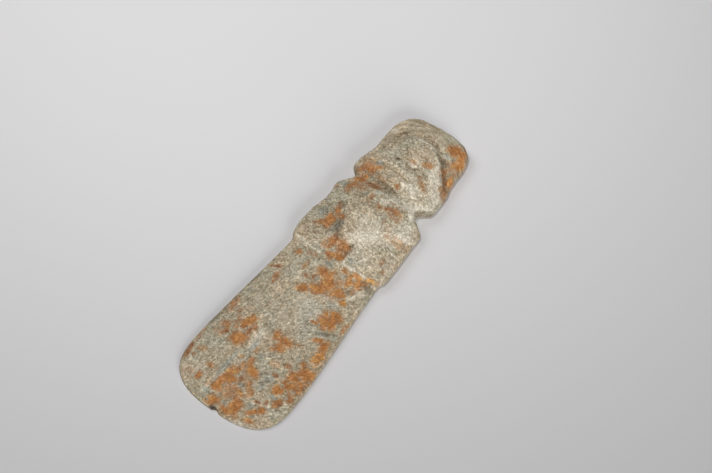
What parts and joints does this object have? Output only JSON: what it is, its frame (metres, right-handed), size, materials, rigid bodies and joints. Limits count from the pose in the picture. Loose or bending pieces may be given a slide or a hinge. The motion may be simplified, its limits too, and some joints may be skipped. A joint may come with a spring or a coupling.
{
  "type": "axe god pendant",
  "caption": "Flat stone celt pendant with a low-relief hooded figure on its upper half, drilled eyes, and a plain blade with a rounded cutting edge.",
  "frame": {"origin": "middle of the flat back, on the surface that the stone lies on", "axes": "+Y up the stone from the cutting edge to the crown, +X to the right of the carved face, +Z out of the face"},
  "size_m": [0.0379, 0.118, 0.0091],
  "materials": {
    "stone": "dull, coarse-grained grey-green to tan stone, worn pale on the raised carving, with orange-brown iron stains"
  },
  "bodies": {
    "root": {"axe_god_pendant": "stone"}
  },
  "joints": []
}
